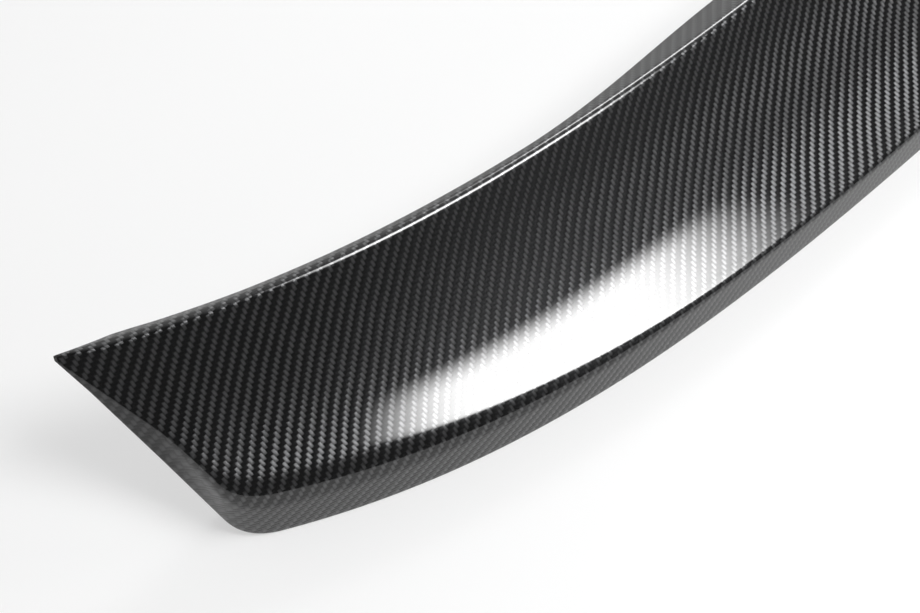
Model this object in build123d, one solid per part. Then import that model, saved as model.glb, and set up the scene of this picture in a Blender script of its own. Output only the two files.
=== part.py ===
from build123d import *
from math import atan2, cos, pi, radians, sin, sqrt, tan
from dataclasses import dataclass
import os

# A lip spoiler moulded as one thin carbon-fibre shell, open at the back. X runs along its width, Y from the lower
# front edge to the upper back edge, Z up. It stands on its lower edge. Lengths are millimetres, angles degrees.

# Overall form
half_width = 563.0          # from the middle to the tip of each end
wall = 2.5                  # laminate thickness
lower_bow = 21.9            # set-back of the lower edge at the tip's station: the even part of the bow
lower_sweep = 84.2          # and the part that gathers near the ends
upper_setback = 97.5        # upper edge behind the lower edge, at the middle
upper_bow = 25.1            # the same two parts of the bow for the upper edge
upper_sweep = 64.5
upper_height = 92.0         # upper edge above the floor, at the middle
upper_rise = 15.0           # how much higher the upper edge is towards the tips
tip_drop = 5.5              # how far it droops again at the very tips
tip_drop_power = 12         # power that keeps the droop close to the tips

# Wall under the crease
wall_height = 26.0          # at the middle
wall_growth = 17.7          # extra height towards the ends
wall_draft = 3.0            # lean of the wall, for release from the mould
crease_radius = 4.5         # over the middle
crease_end_radius = 17.0    # where the wall turns the lower corner
crease_opens_from = 240.0   # distance from the middle where the crease starts to open
foot_bevel = 2.0            # bevel between the wall and the lower flange
foot_trim = 0.5             # ground off under the foot to make it flat

# Concave face
face_bend = 0.41            # degrees of bend per millimetre of chord, at the middle
face_bend_loss = 0.13       # how much less it is at the tips

# Upper edge
edge_radius = 4.5           # rounded upper edge
return_angle = 95.0         # turn from the face into the return flange
return_depth = 9.0          # return flange near the ends
return_mid_depth = 26.0     # return flange across the middle
return_mid_span = 150.0     # the deep stretch reaches this far from the middle
return_fade = 160.0         # and fades to the end depth over this length

# Lower flange, for bonding
flange_width = 22.0

# Ends
corner_station = 535.5      # distance from the middle to the lower corner, before it is rounded
corner_run = 16.0           # length of each edge that the rounding of the corner takes up
tip_thickness = 3.5         # height of the blunt tip
tip_cut = 0.955             # share of the end edge at which the tip is cut off blunt
end_taper = 1.2             # power by which the wall runs out along the end edge

# Small features shrink with the section towards the tips
crease_share = 0.42         # largest crease radius, as a share of the wall's height
edge_share = 0.16           # largest upper edge radius, as a share of the chord
return_share = 0.24         # largest return depth, as a share of the chord
flange_share = 0.30         # largest flange width, as a share of the section's reach
foot_share = 0.25           # largest foot bevel, as a share of the wall's height
laminate_share = 0.60       # largest laminate thickness, as a share of the tightest bend

# Fan of sections: each one runs from the lower border to a partner point on the upper edge
fan_lag = 50.0              # the partner lags this far behind at the corner
fan_corner = 14.0           # and moves this far while the border turns the corner
near_stations = 12          # sections along the lower edge, round the corner and up the end edge of one half
corner_stations = 4
end_stations = 6


def smooth_step(t):
    """A ramp from 0 to 1 with level ends."""
    t = min(1.0, max(0.0, t))
    return t * t * (3.0 - 2.0 * t)


def upper_edge(station):
    """Point of the upper edge, given by its distance from the middle."""
    s = station / half_width
    setback = upper_setback + upper_bow * s ** 2 + upper_sweep * s ** 4
    height = upper_height + upper_rise * s ** 2 - tip_drop * s ** tip_drop_power
    return Vector(station, setback, height)


@dataclass
class Station:
    """One place on the lower border: its foot, the wall's height there and its partner on the upper edge."""
    foot: Vector
    height: float
    partner: float


def near_station(station):
    """A station on the lower edge, which lies on the floor."""
    s = station / half_width
    foot = Vector(station, lower_bow * s ** 2 + lower_sweep * s ** 4, -foot_trim)
    lag = fan_lag * (station / corner_station) ** 2
    return Station(foot, wall_height + wall_growth * s ** 3, station - lag)


def end_station(share):
    """A station on the end edge, which climbs straight from the lower corner to the tip."""
    corner = near_station(corner_station)
    tip = upper_edge(half_width) - Vector(0, 0, tip_thickness)
    foot = corner.foot + (tip - corner.foot) * share
    first_partner = corner.partner + fan_corner
    partner = first_partner + (half_width - first_partner) * share
    return Station(foot, corner.height * (1.0 - share) ** end_taper, partner)


def corner_share():
    """Share of the end edge that the rounding of the corner takes up."""
    return corner_run / (end_station(1.0).foot - end_station(0.0).foot).length


def blend(first, middle, last, t):
    """Quadratic curve from first to last, drawn towards middle."""
    return first * (1.0 - t) ** 2 + middle * (2.0 * t * (1.0 - t)) + last * t ** 2


def turn_station(t):
    """A station on the rounded corner between the lower edge and the end edge."""
    first = near_station(corner_station - corner_run)
    middle = near_station(corner_station)
    last = end_station(corner_share())
    foot = blend(first.foot, middle.foot, last.foot, t)
    height = blend(first.height, middle.height, last.height, t)
    return Station(foot, height, first.partner + (last.partner - first.partner) * t)


def half_stations():
    """Stations from the middle to the tip, closer together at the middle and at the corner."""
    reach = corner_station - corner_run
    places = [reach * (1.0 - cos(pi * i / near_stations)) / 2.0 for i in range(near_stations)]
    stations = [near_station(place) for place in places]
    stations += [turn_station(i / corner_stations) for i in range(corner_stations)]
    first = corner_share()
    step = (tip_cut - first) / end_stations
    return stations + [end_station(first + step * i) for i in range(end_stations + 1)]


class Section:
    """The laminate in the upright plane through a station's foot and its partner.

    Points in the section are (r, z): r is the level distance from the foot, z the height above the floor.
    """

    def __init__(self, station):
        top = upper_edge(station.partner)
        self.foot = station.foot
        self.base = station.foot.Z
        run = Vector(top.X - self.foot.X, top.Y - self.foot.Y)
        self.heading = run.normalized()
        self.crest = Vector(run.length, top.Z)
        self.shape_face(station)
        self.shape_return(station)
        self.limit_sizes(station, run.length)
        self.crease_centre = self.rounding_centre(Vector(0, self.base), self.wall_in, self.crease_radius)
        self.edge_centre = self.rounding_centre(self.crest, self.return_in, self.edge_radius)

    def shape_face(self, station):
        """The wall leans back, and the face is an arc from the crease to the crest, hollow at the front."""
        lean = radians(wall_draft)
        self.wall_up = Vector(sin(lean), cos(lean))
        self.wall_in = Vector(cos(lean), -sin(lean))
        crease = Vector(station.height * tan(lean), self.base + station.height)
        chord = self.crest - crease
        self.chord = chord.length
        slope = atan2(chord.Y, chord.X)
        bend = face_bend - face_bend_loss * (station.partner / half_width) ** 2
        half_turn = radians(bend) * self.chord / 2.0
        self.face_radius = self.chord / (2.0 * sin(half_turn))
        rise = self.face_radius * cos(half_turn)
        self.face_centre = crease + chord * 0.5 + Vector(-sin(slope), cos(slope)) * rise
        self.crest_slope = slope + half_turn

    def shape_return(self, station):
        """The return flange leaves the crest at its own angle and is deepest across the middle."""
        direction = self.crest_slope - radians(return_angle)
        self.return_along = Vector(cos(direction), sin(direction))
        self.return_in = Vector(sin(direction), -cos(direction))
        fade = smooth_step((station.partner - return_mid_span) / return_fade)
        depth = return_mid_depth + (return_depth - return_mid_depth) * fade
        self.return_length = min(depth, return_share * self.chord)

    def limit_sizes(self, station, reach):
        """Bends and flange, each limited by the stretch that it belongs to."""
        spread = smooth_step((self.foot.X - crease_opens_from) / (corner_station - crease_opens_from))
        open_radius = crease_radius + (crease_end_radius - crease_radius) * spread
        self.crease_radius = min(open_radius, crease_share * station.height)
        self.edge_radius = min(edge_radius, edge_share * self.chord)
        self.foot_bevel = min(foot_bevel, foot_share * station.height)
        self.flange_width = min(flange_width, flange_share * reach)
        self.thickness = min(wall, laminate_share * min(self.crease_radius, self.edge_radius))

    def rounding_centre(self, through, inward, radius):
        """Centre of a rounding that touches a straight line and the face from inside the laminate."""
        along = Vector(inward.Y, -inward.X)
        start = through + inward * radius
        offset = start - self.face_centre
        half_b = offset.dot(along)
        root = sqrt(half_b ** 2 - offset.dot(offset) + (self.face_radius + radius) ** 2)
        options = [start + along * (-half_b - root), start + along * (-half_b + root)]
        return min(options, key=lambda point: (point - through).length)

    def skin(self, depth):
        """Points at a depth under the surface: top of the wall, both ends of the face, start of the return."""
        crease = self.crease_radius - depth
        edge = self.edge_radius - depth
        wall_top = self.crease_centre - self.wall_in * crease
        face_low = self.crease_centre + (self.face_centre - self.crease_centre).normalized() * crease
        face_high = self.edge_centre + (self.face_centre - self.edge_centre).normalized() * edge
        return_top = self.edge_centre - self.return_in * edge
        return wall_top, face_low, face_high, return_top

    def on_wall(self, depth, height):
        """Point on the wall at a depth under the surface and a height above the floor."""
        start = Vector(0, self.base) + self.wall_in * depth
        return start + self.wall_up * ((height - start.Y) / self.wall_up.Y)

    def place(self, point):
        """Put a section point into the model."""
        level = self.foot + self.heading * point.X
        return Vector(level.X, level.Y, point.Y)

    def line(self, first, last):
        return Edge.make_line(self.place(first), self.place(last))

    def arc(self, first, last, centre):
        """Round stretch about a centre, as one cubic curve."""
        start = first - centre
        end = last - centre
        turn = atan2(start.X * end.Y - start.Y * end.X, start.dot(end))
        pull = 4.0 / 3.0 * tan(turn / 4.0)
        first_pull = first + Vector(-start.Y, start.X) * pull
        last_pull = last - Vector(-end.Y, end.X) * pull
        return Edge.make_bezier(*[self.place(p) for p in (first, first_pull, last_pull, last)])

    def laminate(self):
        """Closed outline, up the outside from the heel of the flange to the return, and back down the inside.

        The hidden bends on the inside are bevelled, as where a filler strand of resin sits in the mould.
        """
        wall_foot = self.on_wall(0.0, self.base + self.foot_bevel)
        floor_foot = Vector(self.foot_bevel, self.base)
        floor_top = self.base + foot_trim + self.thickness
        heel = Vector(max(self.flange_width, floor_foot.X + self.thickness), self.base)
        heel_top = Vector(heel.X, floor_top)
        inner_foot = self.on_wall(self.thickness, floor_top)
        return_end = self.crest + self.return_along * self.return_length
        return_inner = return_end + self.return_in * self.thickness
        outer = self.skin(0.0)
        inner = self.skin(self.thickness)
        edges = [
            self.line(heel, floor_foot),
            self.line(floor_foot, wall_foot),
            self.line(wall_foot, outer[0]),
            self.arc(outer[0], outer[1], self.crease_centre),
            self.arc(outer[1], outer[2], self.face_centre),
            self.arc(outer[2], outer[3], self.edge_centre),
            self.line(outer[3], return_end),
            self.line(return_end, return_inner),
            self.line(return_inner, inner[3]),
            self.line(inner[3], inner[2]),
            self.arc(inner[2], inner[1], self.face_centre),
            self.line(inner[1], inner[0]),
            self.line(inner[0], inner_foot),
            self.line(inner_foot, heel_top),
            self.line(heel_top, heel),
        ]
        return Face(Wire(edges))


def spoiler_shell():
    """Both halves of the moulding, ground flat under the foot, with the origin under the middle of the box."""
    half = loft([Section(station).laminate() for station in half_stations()])
    half = split(half, bisect_by=Plane.XY, keep=Keep.TOP)
    shell = half + mirror(half, about=Plane.YZ)
    return Pos(0, -shell.bounding_box().center().Y, 0) * shell


os.makedirs("parts", exist_ok=True)
export_step(spoiler_shell(), "parts/spoiler_shell.step")
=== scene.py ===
# %% [markdown]
# # A carbon-fibre lip spoiler, dressed around its solid model
# The real object is one thin shell of woven carbon cloth and resin, laid up in a mould and polished. Its
# looks come from three things: the long doubly curved form, the twill cloth that lies on it, and the
# clear coat that mirrors the studio. This lesson makes each in turn. The solid model is loaded first, as
# the frame that everything is fitted to.

# %% Load the frame
import math
import bpy
import numpy as np
from mathutils import Matrix, Vector


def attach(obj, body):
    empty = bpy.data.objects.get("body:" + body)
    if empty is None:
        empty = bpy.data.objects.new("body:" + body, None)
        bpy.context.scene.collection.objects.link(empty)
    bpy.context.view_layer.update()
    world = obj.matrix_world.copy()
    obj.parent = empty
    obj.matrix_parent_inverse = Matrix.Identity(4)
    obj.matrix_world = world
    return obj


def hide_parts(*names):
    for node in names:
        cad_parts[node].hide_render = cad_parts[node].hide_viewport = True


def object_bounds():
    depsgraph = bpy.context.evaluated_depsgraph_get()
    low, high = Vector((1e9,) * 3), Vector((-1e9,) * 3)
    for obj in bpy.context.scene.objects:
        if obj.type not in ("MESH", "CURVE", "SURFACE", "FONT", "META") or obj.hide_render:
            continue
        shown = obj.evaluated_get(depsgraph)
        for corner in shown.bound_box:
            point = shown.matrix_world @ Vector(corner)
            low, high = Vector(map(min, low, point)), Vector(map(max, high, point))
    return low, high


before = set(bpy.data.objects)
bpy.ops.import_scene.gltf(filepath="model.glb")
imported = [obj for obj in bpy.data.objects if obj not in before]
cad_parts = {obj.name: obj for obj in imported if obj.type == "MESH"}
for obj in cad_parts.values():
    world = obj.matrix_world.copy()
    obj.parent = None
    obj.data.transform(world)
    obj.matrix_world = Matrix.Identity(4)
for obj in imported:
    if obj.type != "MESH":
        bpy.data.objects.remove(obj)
cad_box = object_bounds()
MM = 0.001
print("solid model spans", [round(high - low, 4) for low, high in zip(*cad_box)])

# %% [markdown]
# ## The driving sizes
# The shell is drawn from a few sizes in millimetres: how far the lower and upper edges bow back towards
# the ends, how high they stand, how the face bends between them, and how the wall wraps the corner and
# runs out at the tip. They are the sizes that the solid was built from, so the surface needs no fitting.
# Only the end is softer than the solid: its crease is rounder, and its wall leans in, as the photograph
# shows.

# %% Sizes of the shell
half_width = 563.0
wall = 2.5
lower_bow, lower_sweep = 21.9, 84.2
upper_setback, upper_bow, upper_sweep = 97.5, 25.1, 64.5
upper_height, upper_rise, tip_drop, tip_drop_power = 92.0, 15.0, 5.5, 12
wall_height, wall_growth, wall_draft = 26.0, 17.7, 3.0
crease_radius, crease_end_radius, crease_opens_from = 4.5, 21.0, 240.0
foot_bevel, foot_trim = 2.0, 0.5
face_bend, face_bend_loss = 0.41, 0.13
edge_radius, return_angle = 4.5, 95.0
return_depth, return_mid_depth, return_mid_span, return_fade = 9.0, 26.0, 150.0, 160.0
flange_width = 22.0
corner_station, corner_run = 535.5, 16.0
tip_station, tip_thickness, tip_cut = 561.4, 1.2, 0.985
end_lean, end_lean_run = 20.0, 0.5
crease_share, edge_share, return_share, flange_share, foot_share = 0.60, 0.16, 0.24, 0.30, 0.25
laminate_share = 0.60
fan_lag, fan_corner = 50.0, 14.0
print("half width", half_width, "mm, laminate", wall, "mm")

# %% [markdown]
# ## The border
# A loft needs a rail. Here the rail is the lower border of one half: along the floor, round the lower
# corner and straight up the end edge to the tip. Each place on it has a foot, a wall height and a partner
# on the upper edge, and a section is drawn between the two. Whole arrays carry all places at once, so
# there is no loop over points.


# %% The lower border and its partners
def smooth_step(t):
    """A ramp from 0 to 1 with level ends: t squared times (3 minus 2t)."""
    t = np.clip(t, 0.0, 1.0)
    return t * t * (3.0 - 2.0 * t)


def upper_edge(station):
    """Upper edge: its set-back and height are powers of the station, and it droops at the very tip."""
    s = station / half_width
    setback = upper_setback + upper_bow * s ** 2 + upper_sweep * s ** 4
    level = upper_height + upper_rise * s ** 2 - tip_drop * s ** tip_drop_power
    return np.stack([station, setback, level], axis=-1)


def near_border(station):
    """Lower edge on the floor: foot, wall height and partner, for an array of stations."""
    s = station / half_width
    setback = lower_bow * s ** 2 + lower_sweep * s ** 4
    on_floor = np.stack([station, setback, np.full_like(s, -foot_trim)], axis=-1)
    behind = station - fan_lag * (station / corner_station) ** 2
    return on_floor, wall_height + wall_growth * s ** 3, behind


def end_border(share):
    """End edge: a straight line from the lower corner to the tip, with a wall that runs out evenly."""
    foot, height, partner = (value[0] for value in near_border(np.array([corner_station])))
    tip = upper_edge(np.array([tip_station]))[0] - np.array([0.0, 0.0, tip_thickness])
    first = partner + fan_corner
    feet = foot + (tip - foot) * share[:, None]
    return feet, height * (1.0 - share), first + (tip_station - first) * share


def corner_border(t, last_share):
    """Rounded corner: a quadratic curve between the two edges, drawn towards the corner itself."""
    first = near_border(np.array([corner_station - corner_run]))
    middle = near_border(np.array([corner_station]))
    last = end_border(np.array([last_share]))
    weights = np.stack([(1.0 - t) ** 2, 2.0 * t * (1.0 - t), t ** 2], axis=-1)
    feet = weights @ np.concatenate([first[0], middle[0], last[0]])
    heights = weights @ np.concatenate([first[1], middle[1], last[1]])
    return feet, heights, first[2][0] + (last[2][0] - first[2][0]) * t


def half_border(near_count=230, corner_count=34, end_count=90, near_crowding=0.92):
    """All places from the middle to the tip, closest together where the border turns."""
    tip_foot = end_border(np.array([0.0, 1.0]))[0]
    last_share = corner_run / np.linalg.norm(tip_foot[1] - tip_foot[0])
    spacing = np.linspace(0.0, 1.0, near_count, endpoint=False) ** near_crowding
    near = near_border((corner_station - corner_run) * spacing)
    turn = corner_border(np.linspace(0.0, 1.0, corner_count, endpoint=False), last_share)
    end = end_border(np.linspace(last_share, tip_cut, end_count))
    return [np.concatenate(values) for values in zip(near, turn, end)]


foot, height, partner = half_border()
print("places on one half of the border:", len(height))

# %% [markdown]
# ## The section
# Every section stands upright between its foot and its partner. Its outline goes up the outside and comes
# down the inside: flange, foot, wall, crease, hollow face, rounded upper edge, return flange, and then
# the same again one laminate thickness deeper. Points are (r, z), with r the level distance from the
# foot. Straight stretches are mixes of two points, and round ones are turns about a centre.


# %% Straight and round stretches
def unit(vectors):
    """Vectors divided by their lengths."""
    return vectors / np.linalg.norm(vectors, axis=-1, keepdims=True)


def pair(r, z):
    """Points or directions (r, z) from two arrays or numbers."""
    return np.stack(np.broadcast_arrays(np.asarray(r, float), np.asarray(z, float)), axis=-1)


def straight(first, last, count):
    """Line: first plus t times (last minus first). The last point belongs to the next stretch."""
    t = np.linspace(0.0, 1.0, count, endpoint=False)
    return first[:, None] + (last - first)[:, None] * t[:, None]


def turned(first, last, centre, count):
    """Arc: the spoke from centre to first, turned evenly until it points at last."""
    spoke, end = first - centre, last - centre
    cross = spoke[:, 0] * end[:, 1] - spoke[:, 1] * end[:, 0]
    angle = np.arctan2(cross, (spoke * end).sum(-1))[:, None] * np.linspace(0.0, 1.0, count, endpoint=False)
    r = spoke[:, :1] * np.cos(angle) - spoke[:, 1:] * np.sin(angle)
    z = spoke[:, :1] * np.sin(angle) + spoke[:, 1:] * np.cos(angle)
    return centre[:, None] + np.stack([r, z], axis=-1)


def rounding_centre(through, inward, radius, face_centre, face_radius):
    """Point one radius from a straight line and from the face's circle, nearest to their corner."""
    along = pair(inward[..., 1], -inward[..., 0])
    start = through + inward * radius[:, None]
    offset = start - face_centre
    half_b = (offset * along).sum(-1)
    root = np.sqrt(half_b ** 2 - (offset ** 2).sum(-1) + (face_radius + radius) ** 2)
    low = start + along * (-half_b - root)[:, None]
    high = start + along * (-half_b + root)[:, None]
    nearer = np.linalg.norm(low - through, axis=-1) < np.linalg.norm(high - through, axis=-1)
    return np.where(nearer[:, None], low, high)


# %% Lines and circles of every section
top = upper_edge(partner)
run = top[:, :2] - foot[:, :2]
reach = np.linalg.norm(run, axis=-1)
heading = unit(run)
base = foot[:, 2]
crest = pair(reach, top[:, 2])

climb_share = (base - base.min()) / np.ptp(base)
lean = np.radians(wall_draft + end_lean * smooth_step(climb_share / end_lean_run))
wall_up = pair(np.sin(lean), np.cos(lean))
wall_in = pair(np.cos(lean), -np.sin(lean))
crease = pair(height * np.tan(lean), base + height)
chord_line = crest - crease
chord = np.linalg.norm(chord_line, axis=-1)
slope = np.arctan2(chord_line[:, 1], chord_line[:, 0])
half_turn = np.radians(face_bend - face_bend_loss * (partner / half_width) ** 2) * chord / 2.0
face_radius = chord / (2.0 * np.sin(half_turn))
face_rise = (face_radius * np.cos(half_turn))[:, None]
face_centre = crease + chord_line / 2.0 + pair(-np.sin(slope), np.cos(slope)) * face_rise

direction = slope + half_turn - math.radians(return_angle)
return_along = pair(np.cos(direction), np.sin(direction))
return_in = pair(np.sin(direction), -np.cos(direction))
return_fading = smooth_step((partner - return_mid_span) / return_fade)
return_wanted = return_mid_depth + (return_depth - return_mid_depth) * return_fading
return_length = np.minimum(return_wanted, return_share * chord)
print("face radius", face_radius[0].round(1), "mm in the middle")

# %% Roundings and thickness
opening = smooth_step((foot[:, 0] - crease_opens_from) / (corner_station - crease_opens_from))
crease_r = np.minimum(crease_radius + (crease_end_radius - crease_radius) * opening, crease_share * height)
edge_r = np.minimum(edge_radius, edge_share * chord)
foot_r = np.minimum(foot_bevel, foot_share * height)
thickness = np.minimum(wall, laminate_share * np.minimum(crease_r, edge_r))

wall_line = pair(np.zeros_like(base), base)
crease_centre = rounding_centre(wall_line, wall_in, crease_r, face_centre, face_radius)
edge_centre = rounding_centre(crest, return_in, edge_r, face_centre, face_radius)
print("crease radius", crease_r[0].round(1), "to", crease_r.max().round(1), "mm")


# %% Corners of the outline
def on_wall(depth, level):
    """Point on the wall at a depth under its surface and at a height."""
    start = wall_line + wall_in * depth[:, None]
    return start + wall_up * ((level - start[:, 1]) / wall_up[:, 1])[:, None]


def skin(depth):
    """Ends of the wall, face and return at a depth under the surface."""
    crease_part = (crease_r - depth)[:, None]
    edge_part = (edge_r - depth)[:, None]
    low = crease_centre + unit(face_centre - crease_centre) * crease_part
    high = edge_centre + unit(face_centre - edge_centre) * edge_part
    return crease_centre - wall_in * crease_part, low, high, edge_centre - return_in * edge_part


foot_centre = on_wall(foot_r, base + foot_r)
wall_foot = foot_centre - wall_in * foot_r[:, None]
floor_foot = foot_centre - pair(0.0, foot_r)
floor_top = base + foot_trim + thickness
heel = pair(np.maximum(np.minimum(flange_width, flange_share * reach), floor_foot[:, 0] + thickness), base)
heel_top = pair(heel[:, 0], floor_top)
inner_foot = on_wall(thickness, floor_top)
return_end = crest + return_along * return_length[:, None]
return_inner = return_end + return_in * thickness[:, None]
outer, inner = skin(np.zeros_like(thickness)), skin(thickness)
print("flange", heel[0, 0].round(1), "mm wide in the middle")

# %% The outline, and how much of it is face
stretches = [
    straight(heel, floor_foot, 5),
    turned(floor_foot, wall_foot, foot_centre, 6),
    straight(wall_foot, outer[0], 8),
    turned(outer[0], outer[1], crease_centre, 12),
    turned(outer[1], outer[2], face_centre, 34),
    turned(outer[2], outer[3], edge_centre, 12),
    straight(outer[3], return_end, 7),
    straight(return_end, return_inner, 2),
    straight(return_inner, inner[3], 4),
    turned(inner[3], inner[2], edge_centre, 5),
    turned(inner[2], inner[1], face_centre, 18),
    turned(inner[1], inner[0], crease_centre, 6),
    straight(inner[0], inner_foot, 4),
    straight(inner_foot, heel_top, 4),
    straight(heel_top, heel, 2),
]
counts = [stretch.shape[1] for stretch in stretches]
section = np.concatenate(stretches, axis=1)
outside_count = sum(counts[:7])
# This weight is 1 on the face and 0 on the wall and the return flange; the finish uses it to paint shade on
# the wall.
face_weight = np.zeros(sum(counts))
crease_first, face_first, _, return_first = np.cumsum(counts)[2:6]
face_weight[crease_first:face_first] = smooth_step(np.linspace(0.0, 1.0, counts[3]))
face_weight[face_first:return_first] = 1.0
print("points round a section:", section.shape[1], "of which outside:", outside_count)

# %% [markdown]
# ## From one half to the whole shell
# The sections are put in place, ground flat where they dip under the floor, and mirrored. The middle
# section is shared by both halves, so the surface has no seam there. The row of quads closes round the
# section, and one polygon closes each blunt tip.

# %% Grid of the whole shell
level = foot[:, None, :2] + heading[:, None, :] * section[:, :, :1]
half_grid = np.concatenate([level, np.maximum(section[:, :, 1:], 0.0)], axis=-1)
mirrored = half_grid[:0:-1] * np.array([-1.0, 1.0, 1.0])
grid = np.concatenate([mirrored, half_grid])
grid[:, :, 1] += cad_box[0][1] / MM - grid[:, :, 1].min()
grid = np.clip(grid, np.array(cad_box[0]) / MM, np.array(cad_box[1]) / MM)
rows, columns = grid.shape[:2]
print("grid", rows, "by", columns, "spans", np.ptp(grid.reshape(-1, 3), axis=0).round(2))

# %% [markdown]
# ## How the cloth lies
# The cloth was laid with its warp straight along the width, and it hangs over the face from there. So the
# cloth's first coordinate is simply x. The second is the length along the section, less what the section
# itself moves in x, and it starts from the climb of the crease line towards the ends. Both are in
# millimetres, so the twill keeps its true scale.


# %% Cloth coordinates
def cloth_coordinates(points, start_column, ahead=8):
    """First: x. Second: the sum of sqrt(ds squared - dx squared) up a section, from its start's climb."""
    steps = np.diff(points, axis=1)
    rise = np.sqrt(np.maximum((steps ** 2).sum(-1) - steps[:, :, 0] ** 2, 0.0))
    along = np.concatenate([np.zeros((len(points), 1)), np.cumsum(rise, axis=1)], axis=1)
    start = points[:, start_column]
    up_face = points[:, start_column + ahead] - start
    up_face[:, 0] = 0.0
    climb = (np.diff(start, axis=0) * unit(up_face)[1:]).sum(-1)
    climb = np.concatenate([[0.0], np.cumsum(climb)])
    climb -= climb[len(climb) // 2]
    second = along - along[:, start_column:start_column + 1] + climb[:, None]
    return np.stack([points[:, :, 0], second], axis=-1)


closed_grid = np.concatenate([grid, grid[:, :1]], axis=1)
cloth = cloth_coordinates(closed_grid, face_first)
outside_cloth = cloth[:, :outside_count, 1]
print("cloth reaches", outside_cloth.min().round(1), "to", outside_cloth.max().round(1), "mm")


# %% Mesh of the shell
def shell_mesh(name, points, cloth_points, weight, sharp_angle=35.0):
    """Quads between neighbouring sections, closed round each section, with one polygon on each tip."""
    count = points.shape[1]
    number = np.arange(points.shape[0] * count).reshape(-1, count)
    ahead = np.roll(number, -1, axis=1)
    quads = np.stack([number[:-1], number[1:], ahead[1:], ahead[:-1]], axis=-1).reshape(-1, 4)
    tips = [number[0].tolist(), number[-1][::-1].tolist()]
    mesh = bpy.data.meshes.new(name)
    mesh.from_pydata((points.reshape(-1, 3) * MM).tolist(), [], quads.tolist() + tips)
    near, far = cloth_points[:-1], cloth_points[1:]
    corners = np.stack([near[:, :-1], far[:, :-1], far[:, 1:], near[:, 1:]], axis=2).reshape(-1, 2)
    ends = [cloth_points[0, :-1], cloth_points[-1, :-1][::-1]]
    layer = mesh.uv_layers.new(name="cloth")
    layer.data.foreach_set("uv", np.concatenate([corners] + ends).astype(np.float32).ravel())
    face_layer = mesh.attributes.new("on_face", "FLOAT", "POINT")
    face_layer.data.foreach_set("value", np.tile(weight, points.shape[0]).astype(np.float32))
    mesh.polygons.foreach_set("use_smooth", np.ones(len(mesh.polygons), bool))
    mesh.set_sharp_from_angle(angle=math.radians(sharp_angle))
    mesh.update()
    return mesh


shell = bpy.data.objects.new("spoiler_skin", shell_mesh("spoiler_skin", grid, cloth, face_weight))
bpy.context.scene.collection.objects.link(shell)
area = sum(face.area for face in shell.data.polygons)
print("skin has", len(shell.data.polygons), "faces and", round(area, 4), "square metres")

# %% [markdown]
# ## The finish
# Twill cloth is woven over two and under two, each row one tow further along. With the cloth coordinates
# counted in tows, the warp lies on top where the column number less the row number, modulo four, is under
# two. Fibres gleam across their length and not along it, so the gleam of the weft is stretched one way
# and that of the warp the other, which is why twill changes as it bends away from the light. The weft is
# also painted lighter than the warp, most at the crest of each float, as a painted highlight. Every tow is
# crowned and dips at its ends, which the bump gives to the carbon, while the clear coat above stays smooth
# and mirrors the studio. On the wall and the return flange the painted highlight and the coat both show
# less than on the face, as painted shade, which an attribute on the mesh says.

# %% Node helpers
tow = 2.0


def math_node(tree, operation, *values):
    """One Math node with its inputs linked to sockets or set to numbers."""
    node = tree.nodes.new("ShaderNodeMath")
    node.operation = operation
    for place, value in enumerate(values):
        if isinstance(value, (int, float)):
            node.inputs[place].default_value = value
        else:
            tree.links.new(value, node.inputs[place])
    return node.outputs[0]


def noise_node(tree, vector, scale, detail):
    """Soft noise between 0 and 1 on given coordinates, as a value and as a colour."""
    node = tree.nodes.new("ShaderNodeTexNoise")
    node.inputs["Scale"].default_value = scale
    node.inputs["Detail"].default_value = detail
    tree.links.new(vector, node.inputs["Vector"])
    return node.outputs["Fac"], node.outputs["Color"]


def choose(tree, share, low, high):
    """Value between low and high by a share: low plus share times (high minus low)."""
    return math_node(tree, "MULTIPLY_ADD", share, math_node(tree, "SUBTRACT", high, low), low)


def hump(tree, t):
    """Parabola that is 0 at both ends of a tow or float and 1 in the middle: 4t(1 - t)."""
    rest = math_node(tree, "SUBTRACT", 1.0, t)
    return math_node(tree, "MULTIPLY", math_node(tree, "MULTIPLY", t, 4.0), rest)


def colour_mix(tree, share, low, high):
    """Colour between low and high by a share."""
    node = tree.nodes.new("ShaderNodeMix")
    node.data_type = "RGBA"
    tree.links.new(share, node.inputs["Factor"])
    node.inputs["A"].default_value = (*low, 1.0)
    node.inputs["B"].default_value = (*high, 1.0)
    return node.outputs["Result"]


# %% The twill
def twill(tree, u, v):
    """Two-by-two twill on coordinates in tows: warp on top, crown across a tow and arch along it."""
    column, row = math_node(tree, "FLOOR", u), math_node(tree, "FLOOR", v)
    shift = math_node(tree, "FLOORED_MODULO", math_node(tree, "SUBTRACT", column, row), 4.0)
    warp = math_node(tree, "LESS_THAN", shift, 1.5)
    in_column, in_row = math_node(tree, "FRACT", u), math_node(tree, "FRACT", v)
    across = choose(tree, warp, in_column, in_row)
    warp_along = math_node(tree, "ADD", shift, in_column)
    weft_along = math_node(tree, "ADD", math_node(tree, "SUBTRACT", 3.0, shift), in_row)
    along = math_node(tree, "MULTIPLY", choose(tree, warp, weft_along, warp_along), 0.5)
    return warp, hump(tree, across), hump(tree, along)


# %% Carbon under clear coat
sway_scale, sway_mm = 0.03, 1.8
streak_scale, streak_gain, streak_base = 0.8, 0.9, 0.55
# The crown and arch powers shape the painted highlight that lightens the weft at the crest of each float.
crown_power, arch_power = 0.6, 0.5
# Painted shade: on the wall and the return flange the painted highlight is kept at the first share and the
# coat weight at the second, which darkens them.
shaded_wall_highlight, shaded_wall_coat = 0.35, 0.6
fibre_stretch, fibre_metal, coat_ior = 0.85, 0.9, 1.65


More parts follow.
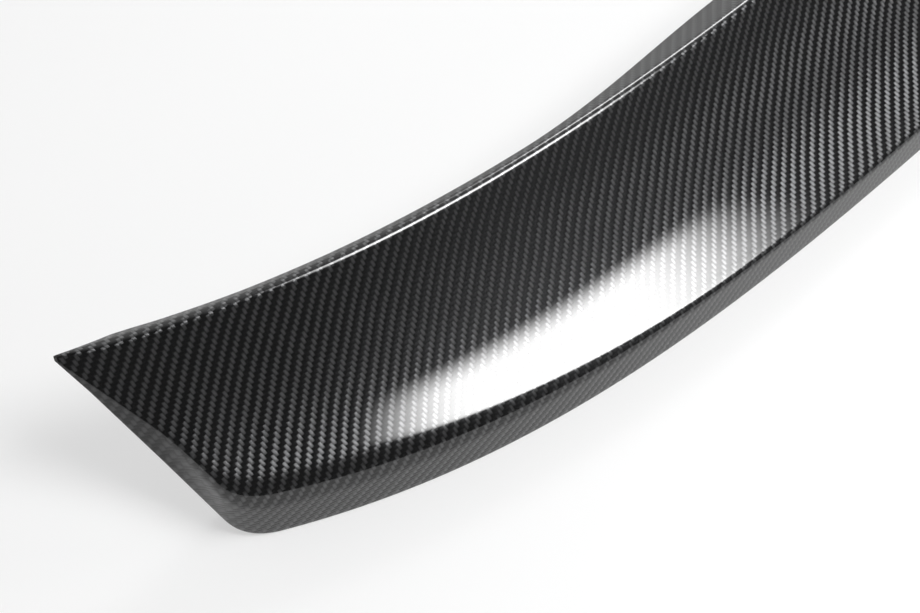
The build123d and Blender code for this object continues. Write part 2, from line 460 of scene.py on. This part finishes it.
def carbon_material(name, warp_colour, weft_highlight_colour, roughness, bump_height, coat, coat_roughness):
    """Twill carbon: fibre gleam turned with each tow, weft painted lighter at float crests as a painted
    highlight, crowned bump, a coat that ignores the bump, and painted shade on the wall.
    """
    material = bpy.data.materials.new(name)
    material.use_nodes = True
    tree = material.node_tree
    shader = tree.nodes["Principled BSDF"]
    coords = tree.nodes.new("ShaderNodeUVMap")
    coords.uv_map = "cloth"
    _, sway = noise_node(tree, coords.outputs["UV"], sway_scale, 1.0)
    laid = tree.nodes.new("ShaderNodeVectorMath")
    laid.operation = "MULTIPLY_ADD"
    tree.links.new(sway, laid.inputs[0])
    laid.inputs[1].default_value = (sway_mm, sway_mm, 0.0)
    tree.links.new(coords.outputs["UV"], laid.inputs[2])
    parts = tree.nodes.new("ShaderNodeSeparateXYZ")
    tree.links.new(laid.outputs["Vector"], parts.inputs[0])
    u = math_node(tree, "DIVIDE", parts.outputs["X"], tow)
    v = math_node(tree, "DIVIDE", parts.outputs["Y"], tow)
    warp, crown, arch = twill(tree, u, v)
    streak, _ = noise_node(tree, coords.outputs["UV"], streak_scale, 3.0)
    # Painted highlight: the weft's base colour is lightened at the crown and arch of each float, with
    # random streaks in its strength.
    crowned = math_node(tree, "POWER", crown, crown_power)
    painted_highlight = math_node(tree, "MULTIPLY", crowned, math_node(tree, "POWER", arch, arch_power))
    uneven = math_node(tree, "MULTIPLY_ADD", streak, streak_gain, streak_base)
    painted_highlight = math_node(tree, "MULTIPLY", painted_highlight, uneven)
    on_face = tree.nodes.new("ShaderNodeAttribute")
    on_face.attribute_name = "on_face"
    # Painted shade: the painted highlight is turned down on the wall and the return flange, where the
    # on_face attribute is low.
    shown = math_node(tree, "MULTIPLY_ADD", on_face.outputs["Fac"], 1.0 - shaded_wall_highlight, shaded_wall_highlight)
    painted_highlight = math_node(tree, "MULTIPLY", painted_highlight, shown)
    # Only the weft gets the painted highlight; the warp keeps the dark colour.
    weft_painted_highlight = math_node(tree, "MULTIPLY", painted_highlight, math_node(tree, "SUBTRACT", 1.0, warp))
    tree.links.new(colour_mix(tree, weft_painted_highlight, warp_colour, weft_highlight_colour), shader.inputs["Base Color"])
    bump = tree.nodes.new("ShaderNodeBump")
    bump.inputs["Distance"].default_value = bump_height
    swell = math_node(tree, "MULTIPLY", math_node(tree, "ADD", crown, arch), 0.5)
    tree.links.new(swell, bump.inputs["Height"])
    tree.links.new(bump.outputs["Normal"], shader.inputs["Normal"])
    tangent = tree.nodes.new("ShaderNodeTangent")
    tangent.direction_type = "UV_MAP"
    tangent.uv_map = "cloth"
    tree.links.new(tangent.outputs["Tangent"], shader.inputs["Tangent"])
    tree.links.new(math_node(tree, "MULTIPLY", warp, 0.25), shader.inputs["Anisotropic Rotation"])
    shader.inputs["Anisotropic"].default_value = fibre_stretch
    shader.inputs["Metallic"].default_value = fibre_metal
    shader.inputs["Roughness"].default_value = roughness
    # Painted shade: the coat weight is lower on the wall and the return flange, so they reflect less.
    face_extra = (1.0 - shaded_wall_coat) * coat
    coat_with_wall_shade = math_node(tree, "MULTIPLY_ADD", on_face.outputs["Fac"], face_extra, shaded_wall_coat * coat)
    tree.links.new(coat_with_wall_shade, shader.inputs["Coat Weight"])
    shader.inputs["Coat Roughness"].default_value = coat_roughness
    shader.inputs["Coat IOR"].default_value = coat_ior
    return material


# %% The two finishes on the shell
# The second colour is a painted highlight, lighter than the first colour of the same fibre; the inside gets
# the same painted highlight under a thin coat.
coated = carbon_material("coated_carbon", (0.008, 0.0081, 0.0085), (0.13, 0.131, 0.134),
                         roughness=0.42, bump_height=0.00015, coat=1.0, coat_roughness=0.05)
inside = carbon_material("inside_carbon", (0.02, 0.02, 0.021), (0.09, 0.09, 0.093),
                         roughness=0.55, bump_height=0.0002, coat=0.1, coat_roughness=0.4)
shell.data.materials.append(coated)
shell.data.materials.append(inside)
on_inside = np.tile(np.arange(columns) >= outside_count, rows - 1).astype(np.int32)
finish_index = np.concatenate([on_inside, [0, 0]]).astype(np.int32)
shell.data.polygons.foreach_set("material_index", finish_index)
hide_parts("spoiler_shell")
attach(shell, "root")
print("inside faces:", int(on_inside.sum()))

# %% [markdown]
# ## The studio
# The photograph was taken from above one end, with a long lens. The floor is white: half of what is seen
# of it is plain white, and the other half is lit and keeps the shadow. One large soft light overhead lays
# the long white streak on the lower face, one from the side wakes the gleam of the weft, and one from
# behind throws the shadow forwards. The world is grey behind and dim in front, which is what makes the
# carbon look deep.

# %% Floor
floor_size, white_share = 6.0, 0.5


def floor_mesh(size, count=24):
    """Flat square grid on z = 0."""
    line = np.linspace(-size / 2.0, size / 2.0, count)
    x, y = np.meshgrid(line, line)
    points = np.stack([x, y, np.zeros_like(x)], axis=-1).reshape(-1, 3)
    number = np.arange(count * count).reshape(count, count)
    corners = [number[:-1, :-1], number[:-1, 1:], number[1:, 1:], number[1:, :-1]]
    quads = np.stack(corners, axis=-1).reshape(-1, 4)
    mesh = bpy.data.meshes.new("floor")
    mesh.from_pydata(points.tolist(), [], quads.tolist())
    return mesh


floor = bpy.data.objects.new("floor", floor_mesh(floor_size))
bpy.context.scene.collection.objects.link(floor)
floor_finish = bpy.data.materials.new("pale_floor")
floor_finish.use_nodes = True
floor_shader = floor_finish.node_tree.nodes["Principled BSDF"]
floor_shader.inputs["Base Color"].default_value = (0.84, 0.84, 0.84, 1.0)
floor_shader.inputs["Roughness"].default_value = 0.9
floor_tree = floor_finish.node_tree
rays = floor_tree.nodes.new("ShaderNodeLightPath")
seen = math_node(floor_tree, "MAXIMUM", rays.outputs["Is Camera Ray"], rays.outputs["Is Glossy Ray"])
seen = math_node(floor_tree, "MAXIMUM", seen, rays.outputs["Is Transmission Ray"])
white = floor_tree.nodes.new("ShaderNodeEmission")
paling = floor_tree.nodes.new("ShaderNodeMixShader")
floor_tree.links.new(math_node(floor_tree, "MULTIPLY", seen, white_share), paling.inputs[0])
floor_tree.links.new(floor_shader.outputs[0], paling.inputs[1])
floor_tree.links.new(white.outputs[0], paling.inputs[2])
floor_tree.links.new(paling.outputs[0], floor_tree.nodes["Material Output"].inputs[0])
floor.data.materials.append(floor_finish)
print("floor of", floor_size, "m")

# %% Camera
camera_place = Vector((-0.7431, -0.3817, 0.9578))
look_azimuth, look_down, roll = math.radians(43.8), math.radians(60.0), math.radians(-0.5)
focal_px, image_px, sensor_mm = 2025.1, 920.0, 36.0
level_look = Vector((math.sin(look_azimuth), math.cos(look_azimuth), 0.0))
look = level_look * math.cos(look_down) + Vector((0.0, 0.0, -math.sin(look_down)))
right = Vector((math.cos(look_azimuth), -math.sin(look_azimuth), 0.0))
up = right.cross(look)
turned_right = right * math.cos(roll) + up * math.sin(roll)
turned_up = turned_right.cross(look)
camera = bpy.data.objects.new("camera", bpy.data.cameras.new("camera"))
camera.data.sensor_width = sensor_mm
camera.data.lens = focal_px / image_px * sensor_mm
axes = Matrix((turned_right, turned_up, -look)).transposed()
camera.matrix_world = Matrix.Translation(camera_place) @ axes.to_4x4()
camera.data.clip_start = 0.01
bpy.context.scene.collection.objects.link(camera)
bpy.context.scene.camera = camera
print("lens", round(camera.data.lens, 1), "mm")


# %% Lamps
def feathered(lamp, feather):
    """Dims a lamp towards its rim: a smooth step in from each side, multiplied together."""
    lamp.data.use_nodes = True
    tree = lamp.data.node_tree
    spot = tree.nodes.new("ShaderNodeNewGeometry").outputs["Parametric"]
    sides = tree.nodes.new("ShaderNodeSeparateXYZ")
    tree.links.new(spot, sides.inputs[0])
    level = 1.0
    for side in (sides.outputs["X"], sides.outputs["Y"]):
        for distance in (side, math_node(tree, "SUBTRACT", 1.0, side)):
            step = tree.nodes.new("ShaderNodeMapRange")
            step.interpolation_type = "SMOOTHSTEP"
            step.inputs["From Max"].default_value = feather
            tree.links.new(distance, step.inputs["Value"])
            level = math_node(tree, "MULTIPLY", step.outputs["Result"], level)
    tree.links.new(level, tree.nodes["Emission"].inputs["Strength"])


def soft_lamp(name, place, target, size, power, feather):
    """Rectangular area lamp at a place, facing a target, with a soft rim."""
    lamp = bpy.data.objects.new(name, bpy.data.lights.new(name, "AREA"))
    lamp.data.shape = "RECTANGLE"
    lamp.data.size, lamp.data.size_y = size
    lamp.data.energy = power
    lamp.location = place
    lamp.rotation_euler = (Vector(target) - Vector(place)).to_track_quat("-Z", "Y").to_euler()
    bpy.context.scene.collection.objects.link(lamp)
    feathered(lamp, feather)
    return lamp


key = soft_lamp("key_softbox", (0.15, -0.66, 1.5), (0.15, -0.659, 0.0), (1.04, 1.07), 57.0, 0.32)
side = soft_lamp("side_softbox", (1.7, -1.3, 0.65), (-0.25, 0.0, 0.05), (0.9, 0.7), 26.0, 0.3)
back = soft_lamp("back_softbox", (1.1, 1.3, 1.5), (-0.2, 0.0, 0.0), (1.0, 0.8), 26.0, 0.3)
print("lamps:", key.name, side.name, back.name)

# %% World
world = bpy.data.worlds.new("studio")
bpy.context.scene.world = world
world.use_nodes = True
front_level, back_level = 0.1, 0.75
sky = world.node_tree
sky_side = sky.nodes.new("ShaderNodeSeparateXYZ")
sky.links.new(sky.nodes.new("ShaderNodeTexCoord").outputs["Generated"], sky_side.inputs[0])
sky_level = sky.nodes.new("ShaderNodeMapRange")
sky_level.interpolation_type = "SMOOTHSTEP"
sky_range = {"From Min": -0.3, "From Max": 0.7, "To Min": front_level, "To Max": back_level}
for socket, value in sky_range.items():
    sky_level.inputs[socket].default_value = value
sky.links.new(sky_side.outputs["Y"], sky_level.inputs["Value"])
sky.links.new(sky_level.outputs["Result"], sky.nodes["Background"].inputs["Strength"])
sky.nodes["Background"].inputs["Color"].default_value = (1.0, 1.0, 1.0, 1.0)
bpy.context.scene.view_settings.view_transform = "Standard"
print("world from", front_level, "in front to", back_level, "behind")
